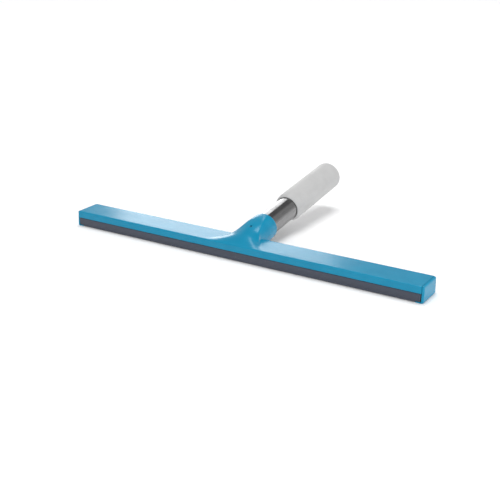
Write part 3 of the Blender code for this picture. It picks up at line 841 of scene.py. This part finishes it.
def make_tube(material):
    inner, lip = TUBE_RADIUS - TUBE_WALL, TUBE_WALL / 2
    rounds = 5
    near = [(TUBE_START + lip - lip * math.cos(a), inner + lip + lip * math.sin(a))
            for a in np.linspace(-math.pi / 2, math.pi / 2, 2 * rounds)]
    far = [(TUBE_END - lip + lip * math.cos(a), inner + lip + lip * math.sin(a))
           for a in np.linspace(math.pi / 2, -math.pi / 2, 2 * rounds)]
    body = [(along, TUBE_RADIUS) for along in np.linspace(TUBE_START + 2, TUBE_END - 2, 60)]
    tube = turned("steel_handle_tube", [*near, *body, *far], handle_frame(), material)
    settle(tube, HEAD, "stainless_tube", "handle_tube")


def make_core(material):
    """Plug pressed into the tube, with two grip ridges and a threaded hole in its nose."""
    radius = TUBE_RADIUS - TUBE_WALL - GAP
    shoulder = TUBE_START + 0.4
    cup, floor = radius - 2.5, shoulder + 8.0
    outer = [(NOSE_START, NOSE_RADIUS - 1.0), *arc((NOSE_START + 1.0, NOSE_RADIUS - 1.0), 1.0, 180, 90, 6),
             (shoulder - 0.5, NOSE_RADIUS), (shoulder, NOSE_RADIUS + 0.5), (shoulder, radius - 0.5),
             (shoulder + 0.5, radius)]
    ridges = [(shoulder + 8 + step * 0.5, radius - 0.25 * (1 - math.cos(step * math.pi / 4)))
              for step in range(33)]
    inside = [(CORE_END - 0.4, radius), (CORE_END, radius - 0.4), (CORE_END, cup + 0.4),
              (CORE_END - 0.4, cup), (floor + 1.0, cup), *arc((floor + 1.0, cup - 1.0), 1.0, 90, 180, 6)[1:]]
    profile = [(NOSE_START, 0.0), *outer, *ridges, *inside, (floor, 0.0)]
    core = turned("nylon_tube_core", profile, handle_frame(), material, closed=False)
    bore = [(0.0, 0.0), (0.0, 2.7), (12.0, 2.7), (12.0, 0.0)]
    hole = turned("core_hole", bore, lock_screw_frame(), material, steps=48, closed=False)
    cut = core.modifiers.new("Hole", "BOOLEAN")
    cut.operation, cut.object, cut.solver = "DIFFERENCE", hole, "EXACT"
    bake(core)
    bpy.data.objects.remove(hole)
    settle(core, HEAD, "black_nylon", "tube_core")


def bake(piece):
    bpy.context.view_layer.update()
    graph = bpy.context.evaluated_depsgraph_get()
    mesh = bpy.data.meshes.new_from_object(piece.evaluated_get(graph))
    piece.modifiers.clear()
    piece.data = mesh
    mesh.set_sharp_from_angle(angle=math.radians(40.0))


def make_insert(material):
    """Knurled brass sleeve in the core's nose."""
    def field(x, y, z):
        radius, angle = np.sqrt(x * x + y * y), np.arctan2(y, x)
        knurl = 0.12 * np.abs(np.sin(12 * angle)) * (np.abs(z - 4.0) > 0.6)
        sleeve = np.maximum(radius - 2.4 + knurl, GRUB_RADIUS + 0.2 - radius)
        return smooth_max(sleeve, np.maximum(1.0 - z, z - 6.9), 0.2)

    around = graded((-2.9, 2.9, 0.12))
    axes = (around, around, graded((0.6, 7.4, 0.2)))
    insert = meshed("brass_core_insert", field, axes, material, slides=2)
    insert.data.transform(lock_screw_frame())
    settle(insert, HEAD, "brass", "core_insert")


def make_grip(material):
    """Smooth sleeve: a rounded mouth, a barely barrelled body and a domed rear edge."""
    inner = TUBE_RADIUS + GAP
    lead = GRIP_MOUTH_ROUND
    mouth_radius = inner + lead
    mouth = [(GRIP_START + lead - lead * math.cos(a), mouth_radius - lead * math.sin(a))
             for a in np.linspace(math.pi / 2, 0, 5)]
    for angle in np.linspace(0, math.pi / 2, 17)[1:]:
        rise = (GRIP_RADIUS - mouth_radius) * math.sin(angle)
        mouth.append((GRIP_START + GRIP_NOSE * (1 - math.cos(angle)), mouth_radius + rise))
    middle = (GRIP_START + GRIP_NOSE, GRIP_END - GRIP_ROUND)
    body = []
    for along in np.linspace(*middle, 50)[1:-1]:
        belly = math.sin(math.pi * (along - middle[0]) / (middle[1] - middle[0]))
        body.append((along, GRIP_RADIUS - GRIP_BARREL + GRIP_BARREL * belly ** 0.5))
    rear = arc((GRIP_END - GRIP_ROUND, GRIP_RADIUS - GRIP_ROUND), GRIP_ROUND, 90, 0, 12)
    bore_end = [(GRIP_END - 0.2, inner + 0.15), (GRIP_END - 0.6, inner)]
    profile = [(GRIP_START + 6.0, inner), *mouth, *body, *rear, *bore_end]
    grip = turned("grey_grip_sleeve", profile, handle_frame(), material)
    settle(grip, HEAD, "grey_grip", "grip_sleeve")


def make_grip_plug(material):
    """Stopper: a shallow dished disc, its flange and a hollow stem."""
    disc, stem = TUBE_RADIUS, TUBE_RADIUS - TUBE_WALL - GAP
    under, face = TUBE_END + GAP, GRIP_END - 0.4
    dish = [(face - 0.5 * (1 - (r / 10.0) ** 2), r) for r in np.linspace(0.0, 10.0, 12)]
    edge = arc((face - 0.8, disc - 0.8), 0.8, 0, 90, 6)
    profile = [*dish, *edge, (under, disc), (under, stem), (under - 8.6, stem), (under - 9.0, stem - 0.4),
               (under - 9.0, stem - 1.6), (under - 8.6, stem - 2.0), (under - 0.6, stem - 2.0),
               (under - 0.6, 0.0)]
    plug = turned("grey_grip_end_plug", profile, handle_frame(), material, closed=False)
    settle(plug, HEAD, "grey_grip", "grip_end_plug")


# ---------------------------------------------------------------- stage
# A plain bright dome with one soft dark flag in it, high behind the object; angles in degrees.
DOME_RADIANCE = 0.54
FLAG_RADIANCE = 0.22
HORIZON_GLOW = 0.48        # added at the horizon, so that the floor's edge doesn't show
GLOW_LOW, GLOW_HIGH = 0.02, 0.30    # upward part of the direction where the glow starts to fade and ends
FLOOR_REACH = 30.0
FLAG_BEARING, FLAG_ELEVATION = -13.0, 51.0
FLAG_INNER, FLAG_OUTER = 19.0, 34.0
# A large far-off key light, nearly overhead and a little behind on the left.
KEY_BEARING, KEY_ELEVATION, KEY_SPREAD = -30.0, 78.5, 32.0
KEY_IRRADIANCE = 1.70
# Soft boxes: name, bearing, elevation, distance in metres, width and height, radiance, lean.
SOFT_BOXES = (
    ("low_back_light", -34.0, 13.0, 2.5, (0.84, 0.95), 3.1, 0.0),
    ("tube_strip_light", -30.0, 36.0, 2.5, (0.24, 1.1), 2.8, 35.0),
    ("right_light", 112.0, 15.0, 2.4, (1.5, 1.1), 3.6, 0.0),
    ("front_fill", 190.0, 14.0, 2.6, (2.2, 1.0), 1.0, 0.0),
)
SOFT_BOX_CENTRE = (0.0, 0.05, 0.02)

CAMERA_PLACE = (0.5231, -0.8331, 0.3809)
CAMERA_AZIMUTH, CAMERA_ELEVATION, CAMERA_ROLL = 31.488, 20.852, 0.192
CAMERA_NUDGE = (-0.00056, 0.00056, 0.0)     # a small step across the view, in the camera's own axes
CAMERA_LENS, CAMERA_SENSOR = 67.35, 36.0


def bearing_vector(bearing, elevation):
    """Unit vector; the bearing is 0 behind the object (+Y) and 90 at its right (+X)."""
    turn, rise = math.radians(bearing), math.radians(elevation)
    return Vector((math.sin(turn) * math.cos(rise), math.cos(turn) * math.cos(rise), math.sin(rise)))


def soft_box(name, bearing, elevation, distance, size, radiance, lean):
    """A rectangular lamp facing the object; a lean tips its top clockwise, as the object sees it."""
    lamp = bpy.data.lights.new(name, "AREA")
    lamp.shape = "RECTANGLE"
    lamp.size, lamp.size_y = size
    lamp.energy = radiance * math.pi * size[0] * size[1]
    light = link(name, lamp)
    outward = bearing_vector(bearing, elevation)
    light.location = Vector(SOFT_BOX_CENTRE) + outward * distance
    facing = (-outward).to_track_quat("-Z", "Y").to_matrix().to_4x4()
    light.rotation_euler = (facing @ Matrix.Rotation(math.radians(lean), 4, "Z")).to_euler()


def make_floor():
    shader = Shader("studio_floor", (0.96, 0.96, 0.96), 0.85)
    shader.plug(shader.mix(shader.noise(3.0, 3.0), (0.955, 0.955, 0.958), (0.97, 0.97, 0.972)), "Base Color")
    mesh = bpy.data.meshes.new("studio_floor")
    corners = [(x * FLOOR_REACH, y * FLOOR_REACH, 0) for x, y in ((-1, -1), (1, -1), (1, 1), (-1, 1))]
    mesh.from_pydata(corners, [], [(0, 1, 2, 3)])
    mesh.materials.append(shader.material)
    link("studio_floor", mesh)


MAP_RANGE_LIMITS = ("From Min", "From Max", "To Min", "To Max")


def make_world():
    """Plain dome: the dark flag and the glow at the horizon are both functions of direction."""
    world = bpy.data.worlds.new("studio")
    bpy.context.scene.world = world
    world.use_nodes = True
    tree = world.node_tree
    background = tree.nodes["Background"]
    background.inputs["Color"].default_value = (1.0, 1.0, 1.0, 1.0)
    direction = tree.nodes.new("ShaderNodeTexCoord").outputs["Generated"]
    towards_flag = tree.nodes.new("ShaderNodeVectorMath")
    towards_flag.operation = "DOT_PRODUCT"
    tree.links.new(direction, towards_flag.inputs[0])
    towards_flag.inputs[1].default_value = bearing_vector(FLAG_BEARING, FLAG_ELEVATION)
    brightness = tree.nodes.new("ShaderNodeMapRange")
    brightness.interpolation_type = "SMOOTHSTEP"
    tree.links.new(towards_flag.outputs["Value"], brightness.inputs["Value"])
    edges = math.cos(math.radians(FLAG_OUTER)), math.cos(math.radians(FLAG_INNER))
    for socket, value in zip(MAP_RANGE_LIMITS, (*edges, DOME_RADIANCE, FLAG_RADIANCE)):
        brightness.inputs[socket].default_value = value
    split = tree.nodes.new("ShaderNodeSeparateXYZ")
    tree.links.new(direction, split.inputs[0])
    horizon = tree.nodes.new("ShaderNodeMapRange")
    horizon.interpolation_type = "SMOOTHSTEP"
    tree.links.new(split.outputs["Z"], horizon.inputs["Value"])
    for socket, value in zip(MAP_RANGE_LIMITS, (GLOW_LOW, GLOW_HIGH, HORIZON_GLOW, 0.0)):
        horizon.inputs[socket].default_value = value
    total = tree.nodes.new("ShaderNodeMath")
    tree.links.new(brightness.outputs["Result"], total.inputs[0])
    tree.links.new(horizon.outputs["Result"], total.inputs[1])
    tree.links.new(total.outputs[0], background.inputs["Strength"])


def make_key():
    key = bpy.data.lights.new("soft_key", "SUN")
    key.angle = math.radians(KEY_SPREAD)
    key.energy = KEY_IRRADIANCE
    towards_key = bearing_vector(KEY_BEARING, KEY_ELEVATION)
    link("soft_key", key).rotation_euler = (-towards_key).to_track_quat("-Z", "Y").to_euler()


def make_stage():
    make_floor()
    make_world()
    for lamp in SOFT_BOXES:
        soft_box(*lamp)
    make_key()


def make_camera():
    """Looks down at the object from its right front."""
    camera_data = bpy.data.cameras.new("camera")
    camera_data.lens = CAMERA_LENS
    camera_data.sensor_width = CAMERA_SENSOR
    camera_data.clip_end = 100.0
    camera = link("camera", camera_data)
    azimuth, elevation, roll = map(math.radians, (CAMERA_AZIMUTH, CAMERA_ELEVATION, CAMERA_ROLL))
    turn = (Matrix.Rotation(azimuth, 4, "Z") @ Matrix.Rotation(math.pi / 2 - elevation, 4, "X")
            @ Matrix.Rotation(roll, 4, "Z"))
    camera.matrix_world = Matrix.Translation(CAMERA_PLACE) @ turn @ Matrix.Translation(CAMERA_NUDGE)
    bpy.context.scene.camera = camera


def main():
    blue = blue_plastic()
    rubber = dark_rubber()
    steel = stainless_steel()
    grey = grey_grip()
    zinc = plain_metal("zinc_steel", (0.42, 0.43, 0.45), (0.60, 0.60, 0.60), 0.30, 700.0)
    brass = plain_metal("brass", (0.62, 0.42, 0.14), (0.78, 0.58, 0.26), 0.30, 800.0)
    aluminium = plain_metal("rail_aluminium", (0.58, 0.59, 0.61), (0.74, 0.75, 0.76), 0.36, 500.0,
                            stretch=(0.02, 1.0, 1.0))
    nylon = black_nylon()

    make_housing(blue)
    make_end_caps(blue)
    make_base_plate(blue)
    make_strip(rubber)
    make_carrier(aluminium)
    make_screws(zinc)
    make_lock_screw(zinc)
    make_tube(steel)
    make_core(nylon)
    make_insert(brass)
    make_grip(grey)
    make_grip_plug(grey)
    make_stage()
    make_camera()
    bpy.context.scene.view_settings.view_transform = "Standard"


main()
